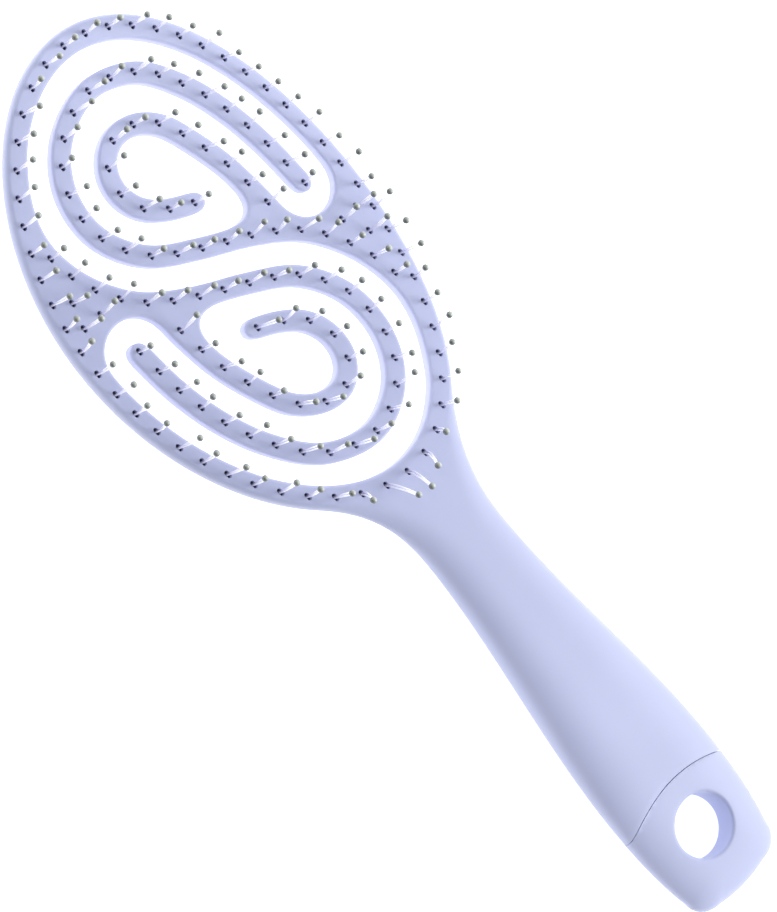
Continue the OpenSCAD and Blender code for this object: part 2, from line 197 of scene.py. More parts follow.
def bowed_rib(foot, bow, radius, side):
    """A rib of the handle that follows the curve of the seam as far as bow is near 1."""
    def place(y):
        return foot - bow * (radius - np.sqrt(radius ** 2 - y * y))
    y = half_width(foot)
    for _ in range(12):
        y = half_width(place(y))
    s = np.concatenate([FLAT * FLAT_PART, FLAT_PART + (1 - FLAT_PART) * np.sin(ROUND)])
    ys = y * s
    xs = place(ys)
    lift = lift_at((ys / half_width(xs) - FLAT_PART) / (1 - FLAT_PART), SQUARE)
    lift[-1] = 0
    return heights(xs, side * ys, lift)


class Shell:
    """Gathers the faces of one closed piece, and welds places that are the same."""

    def __init__(self):
        self.places, self.known, self.faces, self.kinds, self.pale = [], {}, [], [], {}

    def at(self, p):
        key = tuple(round(float(c), 4) for c in p)
        if key not in self.known:
            self.known[key] = len(self.places)
            self.places.append(key)
        return self.known[key]

    def row(self, points):
        return [self.at(p) for p in points]

    def face(self, corners, kind=0):
        ring = [c for i, c in enumerate(corners) if c != corners[i - 1]]
        if len(set(ring)) > 2:
            self.faces.append(ring)
            self.kinds.append(kind)

    def band(self, a, b, closed=True, kind=0):
        """Quads between two rows of equal length."""
        n = len(a)
        for i in range(n if closed else n - 1):
            j = (i + 1) % n
            self.face([a[i], a[j], b[j], b[i]], kind)

    def fan(self, ring, kind=0):
        centre = np.mean([self.places[i] for i in ring], axis=0)
        c = self.at(centre)
        for i in range(len(ring)):
            self.face([ring[i], ring[(i + 1) % len(ring)], c], kind)

    def fill(self, boundary, holes, inner, up):
        """Covers the plan area inside the boundary and outside the holes."""
        picked, edges = [], []
        for loop in [boundary] + holes:
            base = len(picked)
            picked += loop
            edges += [(base + i, base + (i + 1) % len(loop)) for i in range(len(loop))]
        picked += inner
        flat = [Vector(self.places[i][:2]) for i in picked]
        made, _, faces, origin, _, _ = delaunay_2d_cdt(flat, edges, [], 0, 1e-5)
        name = [picked[o[0]] if o else None for o in origin]
        plan = np.array([v[:] for v in made])
        tri = np.array([f for f in faces if len(f) == 3])
        middle = plan[tri].mean(axis=1)
        keep = inside(middle, [self.places[i] for i in boundary])
        for loop in holes:
            near = np.array([self.places[i][:2] for i in loop])
            lo, hi = near.min(0), near.max(0)
            local = keep & (middle > lo).all(1) & (middle < hi).all(1)
            where = np.nonzero(local)[0]
            if len(where):
                keep[where[inside(middle[where], near)]] = False
        a, b, c = plan[tri[:, 0]], plan[tri[:, 1]], plan[tri[:, 2]]
        turn = ((b[:, 0] - a[:, 0]) * (c[:, 1] - a[:, 1])
                - (b[:, 1] - a[:, 1]) * (c[:, 0] - a[:, 0]))
        for f in np.nonzero(keep & (abs(turn) > 1e-9))[0]:
            ids = [name[k] for k in tri[f]]
            if None not in ids:
                self.face(ids if (turn[f] > 0) == up else ids[::-1])

    def piece(self, name, materials, sharp=40):
        mesh = bpy.data.meshes.new(name)
        co = (np.array(self.places) + [HEAD_X, 0, 0]) * MM
        mesh.from_pydata(co.tolist(), [], self.faces)
        for m in materials:
            mesh.materials.append(m)
        mesh.polygons.foreach_set("material_index", self.kinds)
        mesh.polygons.foreach_set("use_smooth", [True] * len(self.faces))
        # The share of painted paler tint and glow at each place, for the lilac material to read.
        give_share(mesh, "painted_edge_glow", [self.pale.get(i, 0.0) for i in range(len(self.places))])
        mesh.validate()
        mesh.set_sharp_from_angle(angle=math.radians(sharp))
        mesh.update()
        obj = bpy.data.objects.new(name, mesh)
        bpy.context.scene.collection.objects.link(obj)
        return obj


def give_share(mesh, name, values):
    """Stores one number from 0 to 1 for each vertex, for a material to read."""
    mesh.attributes.new(name, "FLOAT", "POINT").data.foreach_set("value", values)


def inside(points, loop):
    """Which plan points lie inside a closed loop, counting crossings."""
    loop = np.asarray([p[:2] for p in loop], float)
    nxt = np.roll(loop, -1, axis=0)
    result = np.zeros(len(points), bool)
    for (x0, y0), (x1, y1) in zip(loop, nxt):
        if y0 == y1:
            continue
        cross = (y0 > points[:, 1]) != (y1 > points[:, 1])
        at = x0 + (points[:, 1] - y0) * (x1 - x0) / (y1 - y0)
        result ^= cross & (points[:, 0] < at)
    return result


def clear_of(taken, points, gap):
    """Which plan points keep the gap from every taken place."""
    return np.array([np.hypot(*(taken - p).T).min() > gap for p in points], bool)


# ---- the vent's wall and the tuft rows, from the same middle lines as the part's source
def on_oval(points):
    return np.array(points, float) * [HALF_L / 100, HALF_W / 100]


OUTER_RUN = on_oval([
    (1.8, -68.6), (21, -66.1), (39.4, -59.7), (56.8, -48), (71.5, -29.3), (77.7, -0.3),
    (71, 27.8), (56.1, 44.1), (37.4, 45.4), (20.6, 30.1), (10, 3.6), (1, -24.7),
    (-10.5, -50.3), (-26.8, -67.3), (-43.4, -74), (-56.5, -71.9), (-67.7, -64.3)])
INNER_RUN = on_oval([
    (6, -43.6), (25.3, -39.3), (43.9, -29.6), (52.6, -21.9), (58.5, -8.9), (58.9, 6.4),
    (52.3, 18.1), (42.9, 20.9), (33.7, 15.3), (27.4, 3.1), (22.9, -11.7)])
FORK = on_oval([(17, 83.7), (26.3, 79.8), (16.8, 71.8)])
VENT_L, VENT_W, HALF_BAR, JOIN = HALF_L - RIM_TIP, HALF_W - RIM_SIDE, BAR / 2, 215


def smooth_path(p, steps=24):
    """A rounded curve through every point."""
    p = np.vstack([2 * p[0] - p[1], p, 2 * p[-1] - p[-2]])
    out = []
    for i in range(1, len(p) - 2):
        for t in np.arange(steps) / steps:
            a, b, c, d = p[i - 1:i + 3]
            out.append(0.5 * (2 * b + (c - a) * t + (2 * a - 5 * b + 4 * c - d) * t * t
                              + (3 * b - a - 3 * c + d) * t ** 3))
    out.append(p[-2])
    return np.array(out)


def miles(p):
    """The distance run at each point of a path."""
    return np.concatenate([[0], np.cumsum(np.linalg.norm(np.diff(p, axis=0), axis=1))])


def places(p, at):
    """Places on a path at distances along it."""
    m = miles(p)
    return np.column_stack([np.interp(at, m, p[:, 0]), np.interp(at, m, p[:, 1])])


def spaced(p, step):
    """A path's places at even steps, none longer than the step."""
    total = miles(p)[-1]
    return places(p, np.linspace(0, total, int(math.ceil(total / step)) + 1))


def ways(p, closed=False):
    """Which way a path runs at each point, as unit lengths."""
    d = np.roll(p, -1, axis=0) - np.roll(p, 1, axis=0)
    if not closed:
        d[0], d[-1] = p[1] - p[0], p[-1] - p[-2]
    return d / np.linalg.norm(d, axis=1)[:, None]


def beside(p, dist):
    """The line beside a path, to its left."""
    w = ways(p)
    return p + dist * np.column_stack([-w[:, 1], w[:, 0]])


def arc(c, r, start, end, n):
    t = np.radians(np.linspace(start, end, n + 1))
    return np.asarray(c) + r * np.column_stack([np.cos(t), np.sin(t)])


def oval(a, b, start, end, n):
    t = np.radians(np.linspace(start, end, n + 1))
    return np.column_stack([a * np.cos(t), b * np.sin(t)])


OUTER = smooth_path(np.vstack([
    OUTER_RUN, oval(VENT_L + HALF_BAR, VENT_W + HALF_BAR, JOIN, JOIN, 0)]))
INNER = smooth_path(INNER_RUN)
# The fork leaves the outer bar at a share of its length, and meets the inner one at a distance.
FORK_SHARE, FORK_MEETS = 0.655, 8.7
LINE_STEP, WALL_STEP = 0.9, 0.85


def vent_loop():
    """The vent's edge as one closed loop: half of it, then the same turned round the middle."""
    outer, inner = spaced(OUTER, LINE_STEP), spaced(INNER, LINE_STEP)
    wo, wi = ways(outer), ways(inner)
    fork = int(round(FORK_SHARE * (len(outer) - 1)))
    at = int(round(FORK_MEETS / LINE_STEP))
    right, left = beside(outer, -HALF_BAR), beside(outer, HALF_BAR)
    eye, far = beside(inner, HALF_BAR), beside(inner, -HALF_BAR)
    p, u, q, v = left[fork], wo[fork], eye[at], wi[at]
    corner = p + u * ((q - p)[0] * v[1] - (q - p)[1] * v[0]) / (u[0] * v[1] - u[1] * v[0])
    t = np.linspace(0, 1, 14)[1:-1, None]
    bend = mix(mix(p, corner, t), mix(corner, q, t), t)
    a = math.degrees(math.atan2(wo[0][1], wo[0][0]))
    b = math.degrees(math.atan2(wi[-1][1], wi[-1][0]))
    half = np.vstack([
        oval(VENT_L, VENT_W, 95, JOIN - 2, 110), right[::-1][2:-1],
        arc(outer[0], HALF_BAR, a - 90, a - 270, 14), left[1:fork + 1], bend, eye[at:-1],
        arc(inner[-1], HALF_BAR, b + 90, b - 90, 14), far[::-1][1:-1],
        arc(outer[0], HALF_BAR + END_GAP, 88, 264, 26)])
    loop = np.vstack([half, -half])
    loop = spaced(np.vstack([loop, loop[:1]]), WALL_STEP)[:-1]
    for _ in range(6):
        loop = (np.roll(loop, 1, 0) + 2 * loop + np.roll(loop, -1, 0)) / 4
    return loop


def tuft_rows():
    """The middle of every tuft, row by row, as the source has them."""
    row = oval(HALF_L - RIM_TIP / 2, HALF_W - RIM_SIDE / 2, 0, 360, 120)
    total = miles(row)[-1]
    count = 2 * round(total / RIM_PITCH / 2)
    rim = places(row, [(RIM_START + i * total / count) % total for i in range(count)])
    outer = places(OUTER, np.arange(29) * OUTER_PITCH)
    inner = places(INNER, np.arange(13) * INNER_PITCH)
    return {"rim": rim, "outer_bar": np.vstack([outer, -outer]),
            "inner_bar": np.vstack([inner, -inner]), "fork": np.vstack([FORK, -FORK])}


class Skin:
    """The uncut skin over a run of ribs, to read the heights of its front and back from."""

    def __init__(self, ribs):
        verts, quads = [], []
        for left, right in ribs:
            verts += [p for face in (left[0], left[1], right[0], right[1]) for p in face]
        for i in range(len(ribs) - 1):
            for k in range(4 * LEVELS):
                if k % LEVELS:
                    a, b = i * 4 * LEVELS + k, (i + 1) * 4 * LEVELS + k
                    quads.append((a, a - 1, b - 1, b))
        self.tree = BVHTree.FromPolygons([Vector(v) for v in verts], quads)

    def z(self, points, up):
        way = 1 if up else -1
        hits = [self.tree.ray_cast(Vector((x, y, 60 * way)), Vector((0, 0, -way)))[0]
                for x, y in points]
        return np.array([h.z for h in hits])


def eased_wall(shell, loop, out, skin, steps=6):
    """A hole's wall, over the eased front edge, down, and round the eased back edge. Gives back
    its rows."""
    rows, turn = [], np.radians(np.linspace(0, 90, steps + 1))
    for up in (True, False):
        for a in turn if up else turn[::-1]:
            p = loop + out * EASING * (1 - math.sin(a))
            drop = EASING * (1 - math.cos(a)) * (1 if up else -1)
            rows.append(shell.row(np.column_stack([p, skin.z(p, up) - drop])))
    for a, b in zip(rows, rows[1:]):
        shell.band(a, b)
    return rows


def full_ring(shell, left, right):
    """One closed ring of a rib: front from the middle out, round the edge, and back again."""
    top_l, low_l = left
    top_r, low_r = right
    return (shell.row(top_l) + shell.row(low_l[-2::-1]) + shell.row(low_r[1:-1])
            + shell.row(top_r[:0:-1]))


def hollow_ring(shell, x, fit, bow=0.0, radius=SEAM_R):
    """The handle's inner wall at x, with as many places as a ring of the skin."""
    n = 4 * (LEVELS - 1)
    t = math.pi / 2 - 2 * math.pi * np.arange(n) / n
    to = along(x, SEAM, WAIST)
    w = mix(float(half_width(SEAM)) - WALL - OFF_SEAM, WAIST_W / 2 - WALL - OFF_WAIST, to) - fit
    h = mix((float(front(SEAM)) - float(back(SEAM))) / 2 - WALL, WAIST_THICK / 2 - WALL, to) - fit
    z = mix((front(SEAM) + back(SEAM)) / 2, (front(WAIST) + back(WAIST)) / 2, to)
    y = w * np.sign(np.cos(t)) * abs(np.cos(t)) ** OVOID
    return shell.row(np.column_stack([
        x - bow * (radius - np.sqrt(radius ** 2 - y * y)), y,
        z + h * np.sign(np.sin(t)) * abs(np.sin(t)) ** OVOID]))


def set_in(shell, ring, by):
    """The ring drawn in by a hair, for the broken edge on both sides of the seam."""
    p = np.array([shell.places[i] for i in ring])
    c = np.array([0, 0, (p[:, 2].max() + p[:, 2].min()) / 2])
    d = (p - c) * [0, 1, 1]
    d /= np.linalg.norm(d, axis=1)[:, None] + 1e-9
    return shell.row(p - d * by)


def add_handle(shell):
    """The handle, from its deepest hollow to the seam and on to the neck."""
    radius = SEAM_R + SEAM_GAP
    deep = hollow_ring(shell, WAIST, 0)
    mouth = hollow_ring(shell, SEAM + SEAM_GAP, 0, 1, radius)
    shell.fan(deep)
    shell.band(mouth, deep)
    edge = full_ring(shell, *(bowed_rib(SEAM + SEAM_GAP, 1, radius, s) for s in (1, -1)))
    last = set_in(shell, edge, BROKEN)
    shell.band(last, mouth)
    for foot in np.linspace(SEAM + SEAM_GAP + BROKEN, WAIST, 56):
        bow = float(ease(along(foot, BOW_FROM, SEAM)))
        ring = full_ring(shell, *(bowed_rib(foot, bow, radius, s) for s in (1, -1)))
        shell.band(ring, last)
        last = ring
    for x in np.linspace(WAIST, HEAD_JOIN, 12)[1:]:
        ring = full_ring(shell, *(straight_rib(x, float(half_width(x)), s) for s in (1, -1)))
        shell.band(ring, last)
        last = ring


def paint_edge_glow(shell, wall, strips):
    """Painted light: how much paler tint and glow the thin edges get, standing in for the table's
    light showing through them. All of it goes down the vent's wall and most of it round the head,
    fading out on the faces and along the neck."""
    for k, row in enumerate(wall):
        shell.pale.update(dict.fromkeys(row, min(k / 5, 1, (len(wall) - 1 - k) / 3)))
    for strip in strips:
        last = len(strip) - 1
        most = 0.8 * float(ease(along(shell.places[strip[0]][0], HEAD_JOIN, TINT_FULL)))
        shell.pale.update((place, most * min(2 * k / last, 1, 3 * (1 - k / last)))
                          for k, place in enumerate(strip))


def add_tuft_holes(shell, skin):
    """The tuft holes, blind, with upright walls that are painted dark further down, painted shade
    for the deep narrow hole. Gives back their lips."""
    lips = []
    t = np.radians(np.arange(0, 360, 22.5))
    across = np.sign(np.cos(t).round(6)) * (TUFT_SLOT - TUFT_W) / 2
    for row in tuft_rows().values():
        for px, py in row:
            p = np.column_stack([px + across + TUFT_W / 2 * np.cos(t),
                                 py + TUFT_W / 2 * np.sin(t)])
            lip = shell.row(np.column_stack([p, skin.z(p, True)]))
            shade_top, foot = (shell.row(np.column_stack([p, 0 * t + face_z(px, py) - down]))
                           for down in (SHADE_FROM, TUFT_DEEP))
            shell.band(lip, shade_top)
            # Below this ring the wall takes the hole's painted shade.
            shell.band(shade_top, foot, kind=1)
            shell.fan(foot, kind=1)
            lips.append(lip)
    return lips


def cover_plate(shell, skin, stations, strips, wall, holes):
    """Front and back of the head's plate between its edge, the vent and the tuft holes, on a grid
    of even triangles."""
    gx, gy = np.meshgrid(np.arange(-72, 62, GRID), np.arange(-38, 38.1, GRID * 0.866))
    grid = np.column_stack([(gx + (np.arange(len(gx)) % 2)[:, None]).ravel(), gy.ravel()])
    for up, lip, slots in ((True, wall[0], holes), (False, wall[-1], [])):
        face = 0 if up else 1
        boundary = [strip[0 if up else -1] for strip in strips]
        boundary += shell.row(np.vstack([stations[-1][face][CUT - 1::-1],
                                         stations[0][face][1:CUT]]))
        near_edge = np.vstack([s[face][FLAT_END:CUT] for s in stations[1:-1]])[:, :2]
        fixed = np.array([shell.places[i][:2] for i in boundary + lip + sum(slots, [])])
        slot_places = np.array([shell.places[i][:2] for i in sum(slots, boundary[:1])])
        near_edge = near_edge[clear_of(slot_places, near_edge, OFF_SLOT)]
        for slot in slots:
            near_edge = near_edge[~inside(near_edge, [shell.places[i] for i in slot])]
        free = grid[inside(grid, [shell.places[i] for i in boundary])]
        free = free[~inside(free, [shell.places[i] for i in lip])]
        free = free[clear_of(np.vstack([fixed, near_edge]), free, OFF_EDGE)]
        spots = np.vstack([near_edge, free])
        spots = shell.row(np.column_stack([spots, skin.z(spots, up)]))
        shell.fill(boundary, [lip] + slots, spots, up)


def make_body(materials):
    """Head plate and hollow handle in one closed shell, with the vent and the tuft holes."""
    shell = Shell()
    add_handle(shell)
    # The rounded edge of the head, one strip from the neck round the tip and back.
    turn = math.acos(NECK / HALF_L)
    outline = [(x, float(half_width(x))) for x in np.linspace(HEAD_JOIN, NECK, 15)]
    outline += [(HALF_L * math.cos(t), HALF_W * math.sin(t))
                for t in np.linspace(turn, 0, 150)[1:]]
    ribs = [[straight_rib(x, y, s) for s in (1, -1)] for x, y in outline]
    skin = Skin(ribs)
    stations = [r[0] for r in ribs] + [r[1] for r in ribs[-2::-1]]
    strips = [shell.row(np.vstack([top[CUT:], low[-2:CUT - 1:-1]])) for top, low in stations]
    for a, b in zip(strips[1:], strips):
        shell.band(a, b, closed=False)
    loop = vent_loop()
    w = ways(loop, closed=True)
    wall = eased_wall(shell, loop, np.column_stack([w[:, 1], -w[:, 0]]), skin)
    paint_edge_glow(shell, wall, strips)
    cover_plate(shell, skin, stations, strips, wall, add_tuft_holes(shell, skin))
    return shell.piece("brush_shell", materials)


def make_cap(materials):
    """The end cap in one closed shell: its spigot, its rounded end and the hanging hole."""
    shell = Shell()
    tip = hollow_ring(shell, SEAM + SPIGOT, SPIGOT_FIT)
    root = hollow_ring(shell, SEAM, SPIGOT_FIT, 1, SEAM_R)
    edge = full_ring(shell, *(bowed_rib(SEAM, 1, SEAM_R, s) for s in (1, -1)))
    inset = set_in(shell, edge, BROKEN)
    shell.fan(tip[::-1])
    shell.band(tip, root)
    shell.band(root, inset)
    ribs = []
    for foot in np.linspace(SEAM - BROKEN, CAP_TURN, 16):
        bow = float(ease(along(foot, CAP_TURN, SEAM)))
        ribs.append([bowed_rib(foot, bow, SEAM_R, s) for s in (1, -1)])
    outline = [(x, float(half_width(x))) for x in np.linspace(CAP_TURN, CORNER - TAIL, 9)[1:-1]]
    outline += [(-TAIL + END_BOW + (CORNER - END_BOW) * (1 - math.cos(t)),
                 END_W / 2 - CORNER * (1 - math.sin(t)))
                for t in np.radians(np.arange(90, -0.1, -7.5))]
    outline += [(-TAIL + END_BOW * t * t, t * (END_W / 2 - CORNER))
                for t in np.arange(7, -1, -1) / 8]
    ribs += [[straight_rib(x, y, s) for s in (1, -1)] for x, y in outline]
    skin = Skin(ribs)
    whole = [inset] + [full_ring(shell, *r) for r in ribs]
    # The rounded sides and end in strips; the middle, which the hole crosses, is filled after.
    n = len(inset)
    half, cut = n // 2, FLAT_END + 5
    for a, b in zip(whole, whole[1:]):
        for strip in (range(cut, half - cut + 1), range(half + cut, n - cut + 1)):
            shell.band([a[i] for i in strip], [b[i] for i in strip], closed=False)
    t = np.radians(np.arange(0, 360, 4))
    out = np.column_stack([np.cos(t), np.sin(t)])
    rows = eased_wall(shell, np.array([HOLE_X, 0]) + HOLE_R * out, out, skin)
    for up in (True, False):
        level = cut if up else half - cut
        across = range(1 - cut, cut) if up else range(half + cut - 1, half - cut, -1)
        boundary = [r[level] for r in whole] + [r[n - level] for r in whole[::-1]]
        boundary += [inset[i % n] for i in across]
        boundary = [b for i, b in enumerate(boundary) if b != boundary[i - 1]]
        inner = {r[i % n] for r in whole[1:] for i in across} - set(boundary)
        spots = np.array([shell.places[i][:2] for i in inner])
        keep = np.hypot(spots[:, 0] - HOLE_X, spots[:, 1]) > HOLE_R + EASING + 0.5
        shell.fill(boundary, [rows[0 if up else -1]], [i for i, k in zip(inner, keep) if k], up)
    return shell.piece("cap_shell", materials)


# ---- materials
def linear(hex_colour):
    """An sRGB hex colour turned to linear, with alpha."""
    parts = [int(hex_colour[i:i + 2], 16) / 255 for i in (1, 3, 5)]
    return [c / 12.92 if c <= 0.04045 else ((c + 0.055) / 1.055) ** 2.4 for c in parts] + [1.0]


def add(tree, kind, inputs=(), **settings):
    """One node with its settings; inputs are values or links, by socket name or number."""
    node = tree.nodes.new(kind)
    for key, value in settings.items():
        setattr(node, key, value)
    for key, value in dict(inputs).items():
        named = [i for i in node.inputs if i.name == key and i.enabled] or [node.inputs[key]]
        if isinstance(value, bpy.types.NodeSocket):
            tree.links.new(value, named[0])
        else:
            named[0].default_value = value
    return node


def result(node):
    """The output of a Mix node that its data type switches on."""
    return next(o for o in node.outputs if o.enabled)


def new_material(name):
    material = bpy.data.materials.new(name)
    material.use_nodes = True
    tree = material.node_tree
    tree.nodes.clear()
    return material, tree


def soft_touch_abs():
    """Moulded ABS in lilac with a soft matt skin from a spark-eroded mould: a faint grain, broad
    dull highlights, and thin edges painted paler with a painted glow, for the table's light
    showing through the thin plastic."""
    material, tree = new_material("soft_touch_lilac_abs")
    place = add(tree, "ShaderNodeTexCoord").outputs["Object"]
    # Mould grain is near 0.1 mm, too fine for the picture, so it is drawn at 0.35 mm.
    grain = add(tree, "ShaderNodeTexNoise", {
        "Vector": place, "Scale": 1 / (0.35 * MM), "Detail": 2.0})
    cloud = add(tree, "ShaderNodeTexNoise", {
        "Vector": place, "Scale": 1 / (26 * MM), "Detail": 1.0})
    tone = add(tree, "ShaderNodeValToRGB", {"Fac": cloud.outputs["Fac"]})
    tone.color_ramp.elements[0].position = 0.3
    tone.color_ramp.elements[0].color = linear("#BEC5E6")
    tone.color_ramp.elements[1].position = 0.7
    tone.color_ramp.elements[1].color = linear("#C2C9EA")
    # Painted light: the marked thin edges are tinted paler and given a faint glow.
    edge = add(tree, "ShaderNodeAttribute", attribute_name="painted_edge_glow").outputs["Fac"]
    share = add(tree, "ShaderNodeMath", {0: edge, 1: 0.45}, operation="MULTIPLY")
    tint = add(tree, "ShaderNodeMix", {
        "Factor": share.outputs["Value"], "A": tone.outputs["Color"], "B": linear("#D9DAF3")},
        data_type="RGBA")
    # The strength of the painted glow on the thin edges.
    through = add(tree, "ShaderNodeMath", {0: edge, 1: 0.09}, operation="MULTIPLY")
    rough = add(tree, "ShaderNodeMapRange", {
        "Value": grain.outputs["Fac"], "To Min": 0.46, "To Max": 0.6})
    bump = add(tree, "ShaderNodeBump", {"Height": grain.outputs["Fac"], "Strength": 0.12,
                                        "Distance": 0.03 * MM})
    skin = add(tree, "ShaderNodeBsdfPrincipled", {
        "Base Color": result(tint), "Roughness": rough.outputs["Result"],
        "Normal": bump.outputs["Normal"], "IOR": 1.5, "Sheen Weight": 0.3, "Sheen Roughness": 0.4,
        "Emission Color": linear("#E2E2FA"), "Emission Strength": through.outputs["Value"],
        "Subsurface Weight": 0.12, "Subsurface Radius": (1.0, 0.9, 1.3),
        "Subsurface Scale": 0.8 * MM})
    add(tree, "ShaderNodeOutputMaterial", {"Surface": skin.outputs["BSDF"]})
    return material


def tuft_hole_wall():
    """The deep wall of a drilled tuft hole: rough ABS painted a mottled dark navy, painted shade
    for the narrow gap beside the strands."""
    material, tree = new_material("painted_shade_tuft_hole")
    place = add(tree, "ShaderNodeTexCoord").outputs["Object"]
    shade_mottle = add(tree, "ShaderNodeTexNoise", {
        "Vector": place, "Scale": 1 / (0.3 * MM), "Detail": 3.0})
    tone = add(tree, "ShaderNodeValToRGB", {"Fac": shade_mottle.outputs["Fac"]})
    # Painted shade: dark navy tones for the deep part of the hole.
    tone.color_ramp.elements[0].color = linear("#5A5C92")
    tone.color_ramp.elements[1].color = linear("#888BC0")
    skin = add(tree, "ShaderNodeBsdfPrincipled", {
        "Base Color": tone.outputs["Color"], "Roughness": 0.75})
    add(tree, "ShaderNodeOutputMaterial", {"Surface": skin.outputs["BSDF"]})
    return material


def drawn_nylon():
    """Drawn nylon strand with a slight cloudiness and a thin glossy line. It is half clear. Low
    down its colour is painted lilac for light bounced off the brush, and a painted glow grows
    along it up to a bright milky end."""
    material, tree = new_material("drawn_white_nylon")
    place = add(tree, "ShaderNodeTexCoord").outputs["Object"]
    cloud = add(tree, "ShaderNodeTexNoise", {
        "Vector": place, "Scale": 1 / (1.5 * MM), "Detail": 1.0})
    tone = add(tree, "ShaderNodeValToRGB", {"Fac": cloud.outputs["Fac"]})
    tone.color_ramp.elements[0].color = linear("#F1F1FA")
    tone.color_ramp.elements[1].color = linear("#FFFFFF")
    rise = add(tree, "ShaderNodeAttribute", attribute_name="rise").outputs["Fac"]
    # Painted bounce light: lilac low on the strand, fading to white towards the bead.
    painted_bounce_fade = add(tree, "ShaderNodeMapRange", {"Value": rise, "From Min": 0.1, "From Max": 0.75})
    tint = add(tree, "ShaderNodeMix", {"Factor": painted_bounce_fade.outputs["Result"], "A": linear("#D8D6F2"),
                                       "B": tone.outputs["Color"]}, data_type="RGBA")
    # Painted glow, stronger towards the bead.
    glow = add(tree, "ShaderNodeMapRange", {"Value": rise, "To Min": 0.04, "To Max": 0.22})
    skin = add(tree, "ShaderNodeBsdfPrincipled", {
        "Base Color": result(tint), "Roughness": 0.28, "IOR": 1.53,
        "Transmission Weight": 0.45, "Subsurface Weight": 0.15,
        "Subsurface Radius": (1.0, 1.0, 1.0), "Subsurface Scale": 0.3 * MM,
        "Emission Color": (1.0, 1.0, 1.0, 1.0), "Emission Strength": glow.outputs["Result"]})
    add(tree, "ShaderNodeOutputMaterial", {"Surface": skin.outputs["BSDF"]})
    return material


def dipped_resin():
    """Dipped resin bead, grey-green and a little cloudy, with painted shade and light: dark on the
    side turned from the key light, pale on the side turned to it, with a small wet-looking
    highlight."""
    material, tree = new_material("dipped_grey_green_resin")
    place = add(tree, "ShaderNodeTexCoord")
    # Painted shade and light: the colour follows how far the surface turns toward the key light.
    lit_side = add(tree, "ShaderNodeVectorMath", {
        0: place.outputs["Normal"], 1: (-0.1, -0.74, 0.66)}, operation="DOT_PRODUCT")
    cloud = add(tree, "ShaderNodeTexNoise", {"Vector": place.outputs["Object"],
                                             "Scale": 1 / (0.9 * MM), "Detail": 2.0})
    level = add(tree, "ShaderNodeMapRange", {"Value": lit_side.outputs["Value"], "From Min": 0.05,
                                             "From Max": 1.0, "To Min": 0.0, "To Max": 0.8})
    share = add(tree, "ShaderNodeMath", {
        0: cloud.outputs["Fac"], 1: 0.3, 2: level.outputs["Result"]}, operation="MULTIPLY_ADD")
    tone = add(tree, "ShaderNodeValToRGB", {"Fac": share.outputs["Value"]})
    tone.color_ramp.elements[0].color = linear("#3A433D")
    tone.color_ramp.elements[1].color = linear("#D3DAD1")
    skin = add(tree, "ShaderNodeBsdfPrincipled", {
        "Base Color": tone.outputs["Color"], "Roughness": 0.3, "IOR": 1.52, "Coat Weight": 0.5,
        "Coat Roughness": 0.12})
    add(tree, "ShaderNodeOutputMaterial", {"Surface": skin.outputs["BSDF"]})
    return material


def rolled_steel():
    """Flat rolled steel wire, dull grey with fine lines along its length."""
    material, tree = new_material("rolled_steel_wire")
    place = add(tree, "ShaderNodeTexCoord").outputs["Object"]
    stretch = add(tree, "ShaderNodeMapping", {"Vector": place, "Scale": (0.15, 1, 1)})
    lines = add(tree, "ShaderNodeTexNoise", {"Vector": stretch.outputs["Vector"],
                                             "Scale": 1 / (0.08 * MM), "Detail": 1.0})
    rough = add(tree, "ShaderNodeMapRange", {
        "Value": lines.outputs["Fac"], "To Min": 0.3, "To Max": 0.5})
    skin = add(tree, "ShaderNodeBsdfPrincipled", {
        "Base Color": linear("#70747C"), "Metallic": 1.0, "Roughness": rough.outputs["Result"]})
    add(tree, "ShaderNodeOutputMaterial", {"Surface": skin.outputs["BSDF"]})
    return material


def light_table():
    """White acrylic light table: it glows a little, so the shade on it stays pale."""
    material, tree = new_material("opal_acrylic_table")
    place = add(tree, "ShaderNodeTexCoord").outputs["Object"]
    cloud = add(tree, "ShaderNodeTexNoise", {"Vector": place, "Scale": 1 / (200 * MM)})
    tone = add(tree, "ShaderNodeValToRGB", {"Fac": cloud.outputs["Fac"]})
    tone.color_ramp.elements[0].color = linear("#F6F6F8")
    tone.color_ramp.elements[1].color = linear("#F9F9FA")
    skin = add(tree, "ShaderNodeBsdfPrincipled", {
        "Base Color": tone.outputs["Color"], "Roughness": 0.6,
        "Emission Color": (1.0, 1.0, 1.0, 1.0), "Emission Strength": 0.7})
    add(tree, "ShaderNodeOutputMaterial", {"Surface": skin.outputs["BSDF"]})
    return material


ABS, HOLE_SHADE, NYLON = soft_touch_abs(), tuft_hole_wall(), drawn_nylon()
RESIN, STEEL = dipped_resin(), rolled_steel()


# ---- tufts
# The larger SAG is, the less a bent strand sinks. DRAWN is how far a bead's underside is drawn
# down onto its strands.
SAG, DRAWN = 2.2, 1.16


def leans(rows):
    """Where each tuft's ball stands from straight above its root, in millimetres: by chance, and
    on the whole a little nearer to the tip."""
    hand = random.Random(41)
    result = {}
    for name, row in rows.items():
        shifts = []
        for x, y in row:
            dx, dy = hand.gauss(0.45, 0.5), hand.gauss(-0.15, 0.5)
            if name == "rim" and x < -50 and abs(y) < 17:
                # The last rim tufts, in front of the handle, are swept down it and to one side.
                knots = -16, -10, -4.5, 1.5, 7, 12.5, 17
                dx = np.interp(y, knots, (0.1, -0.1, -2.4, -4.4, -4.8, -1.0, 0.3))
                dy = np.interp(y, knots, (0.4, 2.5, 3.3, 1.5, -0.8, 2.7, 0.0))
            shifts.append((dx, dy))
        result[name] = shifts
    return result


def tuft_top(shift):
    """Height of a ball's middle above the face: a strand that is bent over ends lower."""
    return TUFT_H - BALL / 2 - (shift[0] ** 2 + shift[1] ** 2) / (SAG * TUFT_H)


